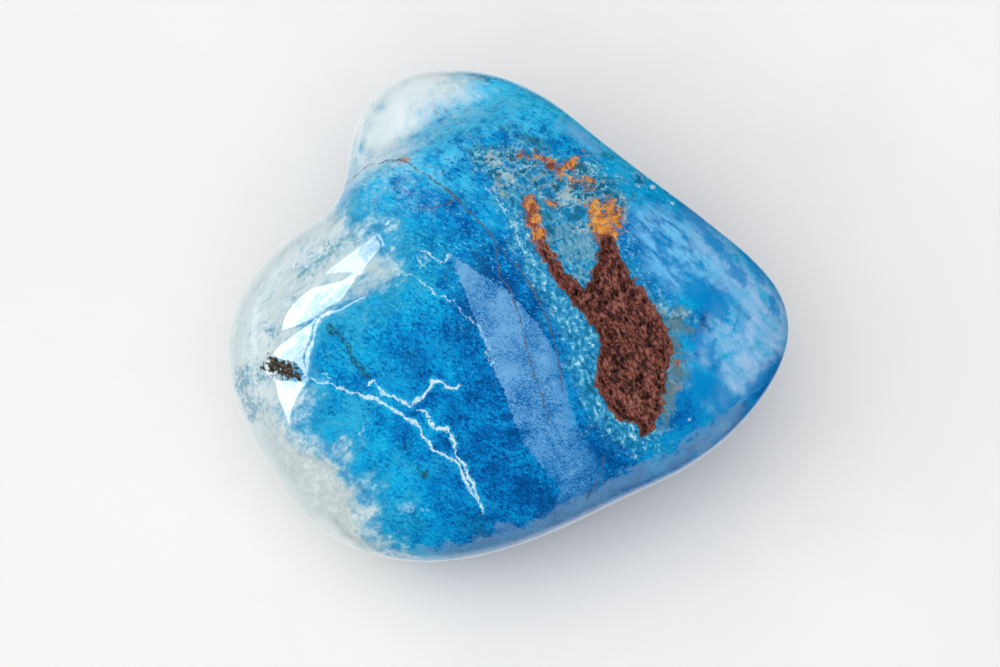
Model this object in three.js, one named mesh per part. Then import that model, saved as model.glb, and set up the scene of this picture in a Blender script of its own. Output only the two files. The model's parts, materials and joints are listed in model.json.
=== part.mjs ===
// A tumbled, polished stone of blue ajoite in quartz: one solid pebble, in millimetres, +Z up.
// It lies on a small worn flat, and its broad polished face leans a little towards -Y.
import * as THREE from "three";
import { mergeVertices } from "three/addons/utils/BufferGeometryUtils.js";

// ---- driving dimensions ----

const meshDetail = 17;          // splits of each icosahedron edge, less one
const faceLean = 18;            // degrees that the broad face leans forward from level
const sectionPower = 2.6;       // 2 is an ellipse, higher is a flatter face with fuller edges
const bodyDepth = 12.9;         // from the middle of the face down to the lowest level
const seatTrim = 0.3;           // height worn off the underside, which leaves the flat seat
const seatForward = 1.9;        // how far the underside's middle moves forward, under the centroid

// The outline as seen square on to the broad face: at each angle (degrees, counter-clockwise
// from +X) the edge's radius, and how far the widest part of the edge lies below the face.
const outline = [
  { angle: 0, radius: 14.45, drop: 4.8 },     // tip
  { angle: 20, radius: 11.6, drop: 4.0 },
  { angle: 40, radius: 10.0, drop: 3.5 },     // straight back edge
  { angle: 60, radius: 9.85, drop: 3.6 },
  { angle: 75, radius: 10.7, drop: 4.0 },
  { angle: 90, radius: 12.0, drop: 4.8 },
  { angle: 105, radius: 13.05, drop: 5.8 },   // rear lobe
  { angle: 118, radius: 13.45, drop: 6.5 },
  { angle: 130, radius: 12.3, drop: 6.9 },
  { angle: 138, radius: 10.8, drop: 6.3 },
  { angle: 146, radius: 9.85, drop: 5.2 },    // notch between lobe and shoulder
  { angle: 160, radius: 11.4, drop: 5.0 },
  { angle: 175, radius: 13.3, drop: 5.6 },
  { angle: 190, radius: 14.3, drop: 6.0 },    // broad end
  { angle: 210, radius: 14.15, drop: 6.2 },
  { angle: 232, radius: 14.35, drop: 6.2 },
  { angle: 250, radius: 13.3, drop: 5.8 },
  { angle: 270, radius: 11.8, drop: 5.2 },    // front edge
  { angle: 288, radius: 11.0, drop: 4.8 },
  { angle: 305, radius: 11.0, drop: 4.6 },
  { angle: 325, radius: 12.3, drop: 4.6 },
  { angle: 342, radius: 13.6, drop: 4.7 },
];
const outlineBlur = [-7, -3.5, 0, 3.5, 7];    // degrees averaged together, which rounds the knots
const undersideBlur = [-44, -22, 0, 22, 44];  // the same for the rounder underside
const undersideShrink = 0.96;
const innerReach = 0.4;                       // further in than this the face keeps a round outline

// The soft ridge that parts the face into two slopes, and the shoulder above the rear lobe.
const ridge = { from: [-2.8, 3.0], to: [2.6, -8.4], slope: 0.055, rounding: 0.7, fade: 5 };
const shoulder = { from: [-8.6, 5.6], to: [-1.5, 8.6], drop: 2.2, width: 2.0, fade: 5.5 };

// The unpolished patch: its outline on the face, and how far its rough floor is sunk.
const patchOutline = [
  [4.7, 3.8], [5.3, 3.7], [5.6, 2.8], [6.3, 1.7], [7.2, 0.7], [7.9, -0.6], [8.2, -1.3],
  [8.0, -2.9], [7.7, -3.9], [7.9, -4.7], [7.2, -5.7], [6.7, -5.8], [6.4, -5.3], [5.4, -4.7],
  [4.7, -3.9], [4.5, -2.6], [4.7, -1.6], [4.1, -0.4], [3.2, 0.9], [2.2, 2.2], [1.9, 3.1],
  [2.4, 2.9], [3.2, 1.9], [3.9, 1.2], [4.4, 2.2], [4.6, 3.2],
];
const patchDepth = 0.34;
const patchWall = 0.5;          // width of the slope at the patch's rim
const patchRoughness = 0.12;
const pit = { at: [-10.9, -2.8], halfLength: 1.0, halfWidth: 0.5, depth: 0.3 };

const swell = 0.13;             // height of the slow undulations that tumbling leaves

// ---- directions of the broad face: right, up it, and square out of it ----

const lean = THREE.MathUtils.degToRad(faceLean);
const faceRight = new THREE.Vector3(1, 0, 0);
const faceUp = new THREE.Vector3(0, Math.cos(lean), Math.sin(lean));
const faceOut = new THREE.Vector3(0, -Math.sin(lean), Math.cos(lean));

// ---- small helpers ----

const smooth = (low, high, value) => THREE.MathUtils.smoothstep(value, low, high);

// A closed curve through the outline's knots, read at any angle.
function throughKnots(key, degrees) {
  const count = outline.length;
  const turn = THREE.MathUtils.euclideanModulo(degrees, 360);
  let index = count - 1;
  while (outline[index].angle > turn) index -= 1;
  const knot = (step) => {
    const wrapped = (index + step + count) % count;
    const laps = Math.floor((index + step) / count);
    return { angle: outline[wrapped].angle + 360 * laps, value: outline[wrapped][key] };
  };
  const [before, start, end, after] = [knot(-1), knot(0), knot(1), knot(2)];
  const span = end.angle - start.angle;
  const leave = ((end.value - before.value) / (end.angle - before.angle)) * span;
  const arrive = ((after.value - start.value) / (after.angle - start.angle)) * span;
  const t = (turn - start.angle) / span;
  return (
    start.value * (2 * t ** 3 - 3 * t ** 2 + 1) + leave * (t ** 3 - 2 * t ** 2 + t) +
    end.value * (3 * t ** 2 - 2 * t ** 3) + arrive * (t ** 3 - t ** 2)
  );
}

function outlineAt(key, degrees, blur = outlineBlur) {
  const sum = blur.reduce((total, shift) => total + throughKnots(key, degrees + shift), 0);
  return sum / blur.length;
}

// Where a point lies along a line, and how far it is to the line's left.
function besideLine([x, y], { from, to }) {
  const [dx, dy] = [to[0] - from[0], to[1] - from[1]];
  const length = Math.hypot(dx, dy);
  const [px, py] = [x - from[0], y - from[1]];
  return { length, along: (px * dx + py * dy) / length, left: (py * dx - px * dy) / length };
}

// Fades to nothing past either end of a line.
function alongFade({ along, length }, fade) {
  return smooth(-fade, 0, along) * (1 - smooth(length, length + fade, along));
}

// Distance from a point to a closed outline, positive inside it.
function insideOutline([x, y], points) {
  let nearest = Infinity;
  let inside = false;
  points.forEach(([ax, ay], index) => {
    const [bx, by] = points[(index + 1) % points.length];
    const [dx, dy] = [bx - ax, by - ay];
    const along = THREE.MathUtils.clamp(((x - ax) * dx + (y - ay) * dy) / (dx ** 2 + dy ** 2), 0, 1);
    nearest = Math.min(nearest, Math.hypot(x - ax - along * dx, y - ay - along * dy));
    if (ay > y !== by > y && x < ax + ((y - ay) * dx) / dy) inside = !inside;
  });
  return inside ? nearest : -nearest;
}

// ---- the forms of the broad face ----

function ridgeFall(point) {
  const place = besideLine(point, ridge);
  const spread = Math.hypot(place.left, ridge.rounding) - ridge.rounding;
  return ridge.slope * spread * alongFade(place, ridge.fade);
}

function shoulderFall(point) {
  const place = besideLine(point, shoulder);
  return shoulder.drop * smooth(0, shoulder.width, place.left) * alongFade(place, shoulder.fade);
}

function patchFall(point) {
  const inward = insideOutline(point, patchOutline);
  if (inward < 0) return 0;
  const [x, y] = point;
  const lumps = Math.sin(4.1 * x + 1.3) * Math.sin(3.7 * y - 0.6) + Math.sin(7.3 * x - 5.9 * y);
  return (patchDepth + 0.5 * patchRoughness * lumps) * smooth(0, patchWall, inward);
}

function pitFall([x, y]) {
  const reach = Math.hypot((x - pit.at[0]) / pit.halfLength, (y - pit.at[1]) / pit.halfWidth);
  return pit.depth * (1 - smooth(0.4, 1, reach));
}

// ---- the stone's surface, one point for each direction ----

function stonePoint(direction) {
  const polar = Math.acos(THREE.MathUtils.clamp(direction.z, -1, 1));
  const degrees = THREE.MathUtils.radToDeg(Math.atan2(direction.y, direction.x));
  const [sine, cosine] = [Math.sin(polar), Math.cos(polar)];
  const size = (sine ** sectionPower + Math.abs(cosine) ** sectionPower) ** (-1 / sectionPower);
  const [out, rise] = [sine * size, cosine * size];
  const edgeRadius = outlineAt("radius", degrees);
  const roundRadius = outlineAt("radius", degrees, undersideBlur);
  const towardsRound = rise > 0 ? 1 - smooth(innerReach, 1, out) : smooth(0.1, 1, -rise);
  const inward = rise > 0 ? roundRadius : roundRadius * undersideShrink;
  const radius = THREE.MathUtils.lerp(edgeRadius, inward, towardsRound) * out;
  const edge = -outlineAt("drop", degrees);
  const x = radius * (direction.x / (sine || 1));
  let y = radius * (direction.y / (sine || 1));
  let depth = edge * (1 - Math.abs(rise));
  if (rise > 0) {
    const upper = rise * (2 - rise);
    depth -= upper * ridgeFall([x, y]);
    depth -= shoulderFall([x, y]) + patchFall([x, y]) + pitFall([x, y]);
  } else {
    const under = Math.abs(rise);
    depth -= (1 - under) * shoulderFall([x, y]);
    y -= seatForward * under ** 2;
    depth += under * ((-bodyDepth - y * faceUp.z) / faceOut.z);
  }
  const { x: a, y: b, z: c } = direction;
  const wave = Math.sin(3.1 * a + 1.2) * Math.sin(3.6 * b + 0.4) + Math.sin(4.3 * c - 2.9 * a);
  return new THREE.Vector3()
    .addScaledVector(faceRight, x)
    .addScaledVector(faceUp, y)
    .addScaledVector(faceOut, depth + 0.5 * swell * wave * rise);
}

function stoneGeometry() {
  const geometry = new THREE.IcosahedronGeometry(1, meshDetail);
  geometry.deleteAttribute("normal");
  geometry.deleteAttribute("uv");
  const stone = mergeVertices(geometry, 1e-5);
  const place = stone.getAttribute("position");
  const point = new THREE.Vector3();
  for (let index = 0; index < place.count; index += 1) {
    point.fromBufferAttribute(place, index).normalize();
    place.setXYZ(index, ...stonePoint(point));
  }
  stone.computeBoundingBox();
  const seat = stone.boundingBox.min.z + seatTrim;
  for (let index = 0; index < place.count; index += 1) {
    place.setZ(index, Math.max(place.getZ(index), seat));
  }
  stone.computeBoundingBox();
  const middle = stone.boundingBox.getCenter(new THREE.Vector3());
  stone.translate(-middle.x, -middle.y, -seat);
  stone.computeVertexNormals();
  return stone;
}

const polishedBlue = new THREE.MeshStandardMaterial({
  color: 0x1c7fc4,
  roughness: 0.12,
  metalness: 0,
});

const stone = new THREE.Mesh(stoneGeometry(), polishedBlue);
stone.name = "stone";

const specimen = new THREE.Group();
specimen.add(stone);

export default specimen;
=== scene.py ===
# A tumbled stone of blue ajoite in quartz, lying on a pale floor.
import json
import math
import bmesh
import bpy
import numpy as np
from mathutils import Euler, Matrix, Vector, noise

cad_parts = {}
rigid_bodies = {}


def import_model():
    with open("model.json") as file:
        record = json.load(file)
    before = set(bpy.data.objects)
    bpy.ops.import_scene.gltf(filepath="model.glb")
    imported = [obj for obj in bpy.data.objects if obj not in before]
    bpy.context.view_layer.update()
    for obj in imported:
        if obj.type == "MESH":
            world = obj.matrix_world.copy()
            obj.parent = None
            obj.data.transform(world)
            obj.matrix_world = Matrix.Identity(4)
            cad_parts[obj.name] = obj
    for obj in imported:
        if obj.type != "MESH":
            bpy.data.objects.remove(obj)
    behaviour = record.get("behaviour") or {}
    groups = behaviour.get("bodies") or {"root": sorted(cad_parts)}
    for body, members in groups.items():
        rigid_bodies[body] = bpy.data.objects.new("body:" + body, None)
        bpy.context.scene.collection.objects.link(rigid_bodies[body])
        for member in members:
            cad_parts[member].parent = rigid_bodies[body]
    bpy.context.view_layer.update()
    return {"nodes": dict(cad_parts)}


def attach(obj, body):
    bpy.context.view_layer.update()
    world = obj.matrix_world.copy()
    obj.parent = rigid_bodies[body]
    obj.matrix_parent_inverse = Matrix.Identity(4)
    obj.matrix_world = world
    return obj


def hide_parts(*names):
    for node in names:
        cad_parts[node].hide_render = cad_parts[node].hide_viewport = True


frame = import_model()
mm = 0.001
farAway = 9.0    # millimetres, well clear of any marking
print("frame loaded:", len(frame["nodes"]), "solid")


# The stone's form in millimetres, as seen square on to its broad face.
stoneForm = {
    "leanDegrees": 18,
    "sectionPower": 2.6,
    "bodyDepth": 12.9,
    "seatTrim": 0.3,
    "seatForward": 1.9,
    "swell": 0.13,
    "edge": [  # angle in degrees from the tip, radius, drop of the widest line below the face
        (0, 14.45, 4.8), (20, 11.6, 4.0), (40, 10.0, 3.5), (60, 9.85, 3.6),
        (75, 10.7, 4.0), (90, 12.0, 4.8), (105, 13.05, 5.8), (118, 13.45, 6.5),
        (130, 12.3, 6.9), (138, 10.8, 6.3), (146, 9.85, 5.2), (160, 11.4, 5.0),
        (175, 13.3, 5.6), (190, 14.3, 6.0), (210, 14.15, 6.2), (232, 14.35, 6.2),
        (250, 13.3, 5.8), (270, 11.8, 5.2), (288, 11.0, 4.8), (305, 11.0, 4.6),
        (325, 12.3, 4.6), (342, 13.6, 4.7),
    ],
    "edgeStep": 0.5,          # degrees between two readings of the edge
    "edgeBlur": (-7, -3.5, 0, 3.5, 7),
    "undersideBlur": (-44, -22, 0, 22, 44),
    "undersideShrink": 0.96,
    "innerReach": 0.4,
    "ridge": {"start": (-2.8, 3.0), "end": (2.6, -8.4), "slope": 0.055, "rounding": 0.7, "fade": 5},
    "shoulder": {"start": (-8.6, 5.6), "end": (-1.5, 8.6), "drop": 2.2, "width": 2.0, "fade": 5.5},
    "patchDepth": 0.34,
    "patchWall": 0.3,
    "patchGrain": 0.2,
    "patchPits": 0.3,
    "pit": {"at": (-10.9, -2.8), "halfLength": 1.0, "halfWidth": 0.5, "depth": 0.12},
    "meshSteps": 7,
    "borderWander": 0.35,     # how far the quartz's border strays from its outline
    "clearDepth": 1.3,        # how far below the polish the milky mass lies at the broad end
    "clearFrom": 0.25,        # how far inside the border it starts to go down
    "clearTo": 3.5,           # and where it gets there
    "clearPower": 1.3,
    "clearStep": 0.006,       # a small step down over the first stretch
    "clearStepTo": 0.55,
    "marksFade": 12,          # how strongly the face's markings die away below the widest line
}

# The broad face's own directions: right, up it, and square out of it.
lean = math.radians(stoneForm["leanDegrees"])
faceRight = np.array((1, 0, 0))
faceUp = np.array((0, math.cos(lean), math.sin(lean)))
faceOut = np.array((0, -math.sin(lean), math.cos(lean)))


def facePoint(x, y, out):  # from the face's own directions to the part's
    return Vector(faceRight * x + faceUp * y + faceOut * out)


# The markings, and the outlines of painted sheen and reflections, in millimetres across and up the
# broad face.
markings = {
    "patch": [
        (1.6, 3.6), (1.9, 2.8), (2.3, 1.9), (2.8, 1.2), (3.2, 0.7), (3.7, 0.1), (4.1, -0.4),
        (4.5, -0.8), (4.6, -1.8), (4.5, -2.5), (4.5, -3.2), (4.6, -3.8), (5.0, -4.5), (5.6, -5.2),
        (6.5, -5.4), (6.7, -6.0), (7.0, -5.9), (7.4, -5.5), (7.8, -4.7), (7.8, -4.0), (8.0, -3.0),
        (8.3, -1.9), (8.2, -1.4), (8.0, -0.8), (7.5, 0.1), (7.2, 0.7), (6.7, 1.2), (6.1, 1.9),
        (5.7, 2.9), (5.2, 3.7), (4.7, 3.8), (4.5, 2.5), (4.2, 1.6), (3.9, 1.2), (3.2, 1.8),
        (2.6, 2.5), (2.1, 3.1), (1.9, 3.7),
    ],
    "quartz": [
        (-7.6, 7.2), (-7.5, 5.8), (-7.1, 5.0), (-6.3, 4.6), (-5.4, 4.3), (-6.0, 3.9), (-5.1, 3.3),
        (-4.8, 2.6), (-5.1, 1.8), (-5.2, 1.3), (-6.1, 0.8), (-7.3, 0.25), (-8.0, 0.0), (-8.7, -0.1),
        (-9.2, -0.9), (-9.3, -1.5), (-9.6, -2.3), (-9.7, -3.1), (-9.3, -3.5), (-9.3, -4.4),
        (-9.9, -5.2), (-9.5, -5.8), (-8.7, -6.0), (-8.1, -5.9), (-7.5, -6.2), (-7.3, -7.0),
        (-7.3, -7.7), (-6.5, -8.0), (-6.4, -8.9), (-6.3, -9.6), (-6.1, -10.5), (-5.5, -11.2),
        (-4.2, -11.8), (-5.0, -15.0), (-18.0, -15.0), (-18.0, 9.0), (-9.0, 9.0),
    ],
    "breccia": [
        (-1.8, 8.1), (-0.2, 8.3), (1.7, 8.2), (4.7, 7.4), (5.8, 6.6), (6.0, 5.5), (5.8, 4.2),
        (4.4, 3.9), (2.5, 4.1), (0.9, 4.8), (0.1, 5.5), (-0.8, 6.1), (-1.8, 7.1),
    ],
    "halo": [
        (-0.9, 6.3), (-0.2, 4.8), (0.2, 3.4), (0.9, 2.2), (1.4, 1.0), (2.0, 0.0), (2.6, -1.0),
        (3.0, -2.0), (3.2, -3.2), (3.6, -4.4), (4.2, -5.6), (5.4, -6.6), (6.6, -6.9), (7.7, -6.5),
        (8.0, -5.4), (8.4, -4.4), (8.9, -3.4), (9.0, -2.2), (8.6, -1.3), (9.7, -0.1), (7.6, 0.9),
        (6.9, 1.6), (6.4, 2.6), (5.8, 3.7), (4.0, 5.0),
    ],
    # painted sheen: the band beside the ridge, partly the stone's own paler colour and partly
    # painted reflection of the window
    "silk": [
        (-2.7, 3.0), (-1.7, 0.4), (-0.7, -2.2), (0.1, -4.3), (1.0, -6.5), (2.2, -7.9), (2.8, -8.7),
        (2.2, -9.7), (0.9, -10.5), (-0.7, -11.3), (3.0, -13.5), (6.0, -9.0), (3.6, -5.5),
        (2.7, -2.3), (1.8, -0.8), (1.0, 0.2), (0.1, 1.2), (-1.1, 1.9),
    ],
    # painted reflection: curved pale streaks in an oval towards the upper right
    "silkBack": [
        (6.3, 5.3), (7.9, 5.2), (9.2, 4.5), (10.2, 3.4), (11.3, 1.6), (10.3, 1.5), (8.7, 1.9),
        (9.4, 1.6), (8.6, 1.1), (7.5, 1.8), (6.9, 2.8), (6.4, 4.5),
    ],
    # the line along the ridge that bounds the painted sheen band
    "silkSide": [
        (-4.0, 6.5), (-1.5, 4.4), (0.1, 2.6), (1.3, 1.2), (2.1, -0.6), (2.7, -2.9), (3.3, -5.2),
        (5.5, -9.0),
    ],
    "upper": [
        (-9.5, 5.5), (-6.6, 7.6), (-4.5, 7.4), (-2.2, 5.9), (-0.6, 4.4), (-0.4, 5.8), (-1.6, 7.2),
        (-1.5, 8.4), (2.0, 8.6), (5.2, 7.6), (6.6, 6.8), (9.5, 9.0), (0.0, 17.0), (-13.0, 15.0),
    ],
    "lobePale": [
        (-2.0, 14.0), (-1.9, 12.2), (-1.8, 11.0), (-3.0, 10.4), (-4.0, 9.8), (-4.6, 8.8),
        (-5.3, 8.0), (-6.8, 7.4), (-8.4, 6.3), (-12.0, 8.0), (-9.0, 14.0),
    ],
    # painted reflection: the pale haze near the tip
    "tipReflectionHaze": [
        (9.2, 5.1), (10.5, 3.9), (11.8, 2.3), (13.0, 1.5), (14.4, 0.3), (14.6, -1.2), (13.2, -2.2),
        (12.1, -3.4), (10.8, -4.6), (10.2, -4.4), (11.3, -3.0), (12.0, -1.5), (11.9, 0.1),
        (11.1, 1.4), (10.2, 2.6), (9.4, 3.7),
    ],
    # painted reflection: the palest haze near the tip
    "tipReflectionPale": [
        (10.2, -0.6), (10.9, 0.3), (11.9, -0.4), (12.5, -1.3), (12.2, -2.4), (11.2, -3.4),
        (10.3, -2.2),
    ],
    "sage": [
        (6.6, 1.2), (7.6, 0.6), (8.8, 0.4), (9.4, 0.1), (8.6, -1.0), (9.0, -2.2), (8.7, -3.6),
        (8.2, -4.8), (7.6, -5.9), (7.4, -3.0), (7.6, -0.5),
    ],
    # the line of the painted reflection along the front rim
    "reflectedRimLine": [
        (-6.0, -12.2), (-3.7, -11.7), (-1.7, -11.3), (-0.2, -10.7), (1.0, -10.4), (2.0, -10.0),
        (2.7, -9.6), (4.7, -8.5), (6.7, -7.5), (8.7, -6.4), (11.0, -4.8),
    ],
    "whiteVein": [
        [(-9.8, -3.2), (-8.7, -3.4), (-7.4, -3.9), (-6.6, -4.1), (-6.0, -4.3), (-4.9, -5.0),
         (-4.1, -5.5), (-4.1, -5.8), (-3.5, -6.6), (-3.0, -6.9), (-2.4, -7.2), (-2.1, -7.7),
         (-1.6, -8.9), (-1.3, -9.1)],
        [(-6.7, -3.5), (-6.4, -3.2), (-6.0, -3.9), (-5.0, -4.3), (-4.6, -4.5), (-4.3, -4.2),
         (-4.0, -4.1), (-3.5, -3.3), (-3.2, -3.3), (-2.8, -3.6), (-2.1, -3.5)],
        [(-4.3, -4.7), (-3.9, -4.8), (-3.4, -5.6), (-2.8, -5.7), (-2.5, -6.2), (-2.4, -6.8),
         (-2.0, -7.4), (-1.7, -8.1), (-1.0, -9.8)],
    ],
    "paleVein": [
        [(-6.0, 3.1), (-5.0, 2.0), (-4.3, 1.8), (-3.3, 1.0), (-2.6, 0.7), (-2.0, 0.0), (-1.4, -0.5),
         (-1.0, -1.2), (-0.6, -2.6)],
        [(-4.3, 3.2), (-3.5, 2.8), (-2.9, 2.5), (-2.6, 3.0)],
        [(-4.1, 2.9), (-3.7, 2.5), (-4.1, 2.3), (-4.1, 2.9)],
        [(-7.2, -6.0), (-6.8, -5.6)],
        [(-9.0, -3.0), (-8.4, -3.2)],
        [(-0.9, 6.2), (-0.6, 5.8), (-0.1, 5.2), (0.5, 4.4), (0.7, 3.6), (1.2, 2.5)],
    ],
    "brownVein": [
        [(-8.6, 5.9), (-7.6, 6.8), (-6.8, 7.4), (-5.8, 7.6), (-5.0, 7.6), (-4.3, 7.1), (-3.5, 6.6),
         (-2.7, 6.0), (-1.5, 4.8), (-0.4, 3.5), (0.1, 2.8), (0.7, 2.2), (1.3, 1.3), (1.7, 0.5),
         (2.2, -0.6), (2.5, -1.7), (2.7, -2.9), (2.9, -4.3)],
        [(-0.5, 3.7), (-0.4, 2.6), (-0.2, 1.7), (0.2, 1.3), (0.5, 0.6), (0.9, -0.9), (1.2, -2.2),
         (1.9, -4.3), (2.2, -5.4)],
        [(-2.5, 5.5), (-3.3, 5.3), (-3.9, 5.1)],
        [(4.9, -6.8), (4.8, -7.6), (4.4, -8.7), (3.9, -9.4)],
    ],
    "oliveVein": [
        [(-8.8, -0.5), (-7.8, -1.5), (-7.2, -2.5), (-6.5, -3.3)],
        [(-4.3, -7.4), (-3.7, -8.1)],
    ],
}

# Blots and streaks on the face, some of them painted reflection, each from one point to another
# with a half width.
strokes = {
    "ring": [
        (2.1, 7.2, 2.1, 7.2, 0.18), (1.9, 6.5, 2.0, 6.5, 0.22), (2.7, 6.5, 2.8, 6.4, 0.2),
        (2.1, 5.9, 2.2, 5.8, 0.28), (4.6, 5.9, 4.6, 5.9, 0.2), (3.6, 5.1, 3.8, 5.0, 0.25),
        (3.0, 5.0, 3.0, 5.0, 0.2), (3.2, 4.7, 3.5, 4.7, 0.28), (1.4, 7.0, 1.5, 7.0, 0.17),
        (0.9, 6.5, 1.0, 6.4, 0.16), (6.6, 6.7, 6.7, 6.6, 0.2), (0.2, 7.3, 0.3, 7.2, 0.16),
    ],
    "ink": [
        (2.2, 4.2, 2.3, 4.0, 0.18), (2.1, 4.8, 2.2, 4.6, 0.12), (0.6, 8.9, 2.2, 8.0, 0.09),
        (4.9, 7.9, 5.3, 7.8, 0.08), (-1.7, 12.2, -0.8, 11.8, 0.08), (-0.2, 9.1, 0.8, 8.7, 0.07),
    ],
    "cream": [
        (3.4, 4.1, 4.3, 4.3, 0.07), (2.5, 5.8, 3.4, 5.6, 0.2), (3.0, 6.1, 3.3, 6.4, 0.15),
        (3.4, 5.3, 4.2, 5.6, 0.15), (2.6, 5.4, 4.7, 5.3, 0.1), (-0.8, 7.8, -0.4, 7.4, 0.15),
        (-0.1, 6.9, 0.3, 6.5, 0.15), (-0.5, 6.3, -0.2, 6.0, 0.15), (5.7, 5.8, 6.1, 5.4, 0.08),
        (6.1, 5.4, 5.9, 4.7, 0.07), (5.9, 4.7, 5.7, 4.1, 0.07), (6.7, -3.0, 6.9, -3.1, 0.08),
    ],
    "pale": [
        (6.6, 0.3, 7.6, 0.4, 0.1), (7.6, 0.4, 8.2, -0.1, 0.1), (8.2, -0.1, 9.2, 0.0, 0.12),
        (-5.3, -9.4, -4.6, -9.5, 0.07), (-5.2, -9.7, -4.6, -9.8, 0.07),
        (-4.0, -9.7, -3.8, -9.7, 0.07),
    ],
    "bright": [
        (2.7, 10.0, 4.7, 8.6, 0.49), (4.7, 8.6, 6.7, 7.1, 0.49), (5.3, 6.7, 6.7, 5.6, 0.59),
        (6.7, 7.1, 9.7, 4.6, 0.29), (9.7, 4.6, 12.2, 2.1, 0.34), (9.6, 2.2, 9.1, 0.7, 0.49),
        (11.6, 0.7, 10.9, -1.3, 0.59), (-0.2, 11.0, 2.7, 9.6, 0.49),
    ],
    "dot": [
        (7.3, 6.3, 7.35, 6.3, 0.12), (8.3, 5.5, 8.32, 5.5, 0.1), (6.6, 6.3, 6.62, 6.3, 0.07),
        (9.1, -5.2, 9.12, -5.2, 0.07),
    ],
    # painted reflection: pale haze streaks
    "hazeReflection": [
        (2.7, 9.4, 3.9, 8.7, 0.25), (3.9, 8.7, 4.7, 8.0, 0.15), (9.6, -1.0, 9.8, -2.6, 0.16),
        (9.1, -1.8, 9.0, -3.5, 0.06), (11.0, -5.5, 9.7, -6.5, 0.15),
    ],
    "deep": [
        (13.3, 0.8, 13.4, 0.0, 0.18), (13.3, -2.7, 12.3, -4.1, 0.1), (11.0, 0.9, 11.9, -0.1, 0.14),
        (8.9, 5.3, 10.3, 3.8, 0.25), (10.3, 3.8, 11.8, 1.6, 0.25), (9.1, 1.2, 10.7, 0.3, 0.44),
        (9.6, -3.3, 11.0, -4.4, 0.54), (12.2, 2.4, 13.0, 1.6, 0.08), (7.4, 4.1, 8.0, 2.5, 0.12),
        (8.4, 2.6, 9.6, 1.5, 0.11), (9.3, -0.4, 9.5, -1.4, 0.12), (10.2, -1.5, 10.3, -2.6, 0.1),
    ],
    "ochre": [
        (1.3, 5.3, 1.3, 4.5, 0.4), (1.4, 4.5, 1.7, 3.4, 0.32), (1.8, 3.4, 2.1, 2.8, 0.22),
        (1.9, 5.5, 2.3, 5.4, 0.14), (0.6, 7.8, 1.5, 7.7, 0.02), (1.5, 7.7, 2.2, 7.5, 0.09),
        (2.1, 7.4, 2.8, 7.0, 0.13), (2.8, 7.1, 3.2, 7.3, 0.17), (3.2, 7.3, 3.5, 7.7, 0.09),
        (3.5, 7.7, 3.8, 7.9, 0.02), (2.7, 6.8, 2.8, 7.0, 0.14), (3.3, 6.6, 3.7, 6.4, 0.1),
        (3.9, 6.1, 4.3, 6.1, 0.08), (3.9, 6.6, 4.7, 6.5, 0.02), (4.4, 5.3, 4.7, 4.6, 0.34),
        (5.0, 5.4, 5.3, 4.8, 0.34), (4.7, 4.6, 4.8, 3.8, 0.44), (5.3, 4.8, 5.6, 4.3, 0.25),
        (5.1, 4.2, 5.3, 3.9, 0.2), (2.0, 3.1, 2.5, 2.5, 0.12), (7.9, -1.8, 8.1, -2.1, 0.08),
        (8.4, -2.4, 8.6, -2.3, 0.05), (-5.1, 7.6, -4.9, 7.6, 0.08),
    ],
    "grey": [
        (8.4, -0.4, 9.1, -0.8, 0.25), (8.0, -3.5, 7.9, -4.2, 0.2), (8.2, -1.3, 8.4, -2.9, 0.15),
        (-0.4, 6.6, 0.1, 5.6, 0.1),
    ],
    "wedge": [
        (2.8, 4.0, 4.2, 3.7, 0.34), (3.0, 3.3, 4.2, 3.3, 0.29), (3.4, 2.7, 4.1, 2.8, 0.25),
        (3.7, 2.1, 3.9, 1.8, 0.15),
    ],
    "smudge": [
        (-10.2, 1.9, -10.9, 0.9, 0.29), (-11.1, 0.7, -11.3, 0.1, 0.25),
        (-10.5, 1.6, -10.7, 1.4, 0.25), (-7.3, 1.1, -6.5, 1.6, 0.34), (-6.6, 2.0, -5.7, 2.1, 0.34),
    ],
    "teal": [
        (-9.9, 2.0, -8.6, 2.9, 0.2), (-8.6, 2.9, -7.5, 3.8, 0.17), (-7.5, 3.8, -7.2, 4.7, 0.2),
        (-10.3, 0.7, -10.1, 0.5, 0.15), (-11.5, -0.7, -11.3, -0.9, 0.13),
        (-12.6, -2.9, -12.1, -2.6, 0.2), (-12.5, -3.2, -12.7, -4.3, 0.2),
        (-12.1, -2.9, -11.8, -3.1, 0.15), (-12.3, -3.9, -12.1, -4.7, 0.2),
        (-7.1, 3.4, -6.1, 3.1, 0.04),
    ],
    "pit": [(-11.5, -2.5, -10.6, -2.75, 0.33), (-10.9, -2.95, -10.2, -3.05, 0.22)],
}


def smooth(low, high, value):
    t = np.clip((value - low) / (high - low), 0, 1)
    return t * t * (3 - 2 * t)


def edgeCurve(column, blur):  # a closed curve through the edge's knots, as a table to read from
    knots = stoneForm["edge"]
    count = len(knots)

    def knot(index):
        angle, *rest = knots[index % count]
        return angle + 360 * (index // count), rest[column]

    def read(degrees):
        turn = degrees % 360
        index = max(i for i in range(count) if knots[i][0] <= turn)
        (a0, v0), (a1, v1), (a2, v2), (a3, v3) = (knot(index + step) for step in (-1, 0, 1, 2))
        span = a2 - a1
        leave, arrive = (v2 - v0) / (a2 - a0) * span, (v3 - v1) / (a3 - a1) * span
        t = (turn - a1) / span
        return (v1 * (2 * t**3 - 3 * t**2 + 1) + leave * (t**3 - 2 * t**2 + t)
                + v2 * (3 * t**2 - 2 * t**3) + arrive * (t**3 - t**2))

    angles = np.arange(0, 360 + stoneForm["edgeStep"], stoneForm["edgeStep"])
    return angles, np.array([sum(read(a + shift) for shift in blur) / len(blur) for a in angles])


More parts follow.
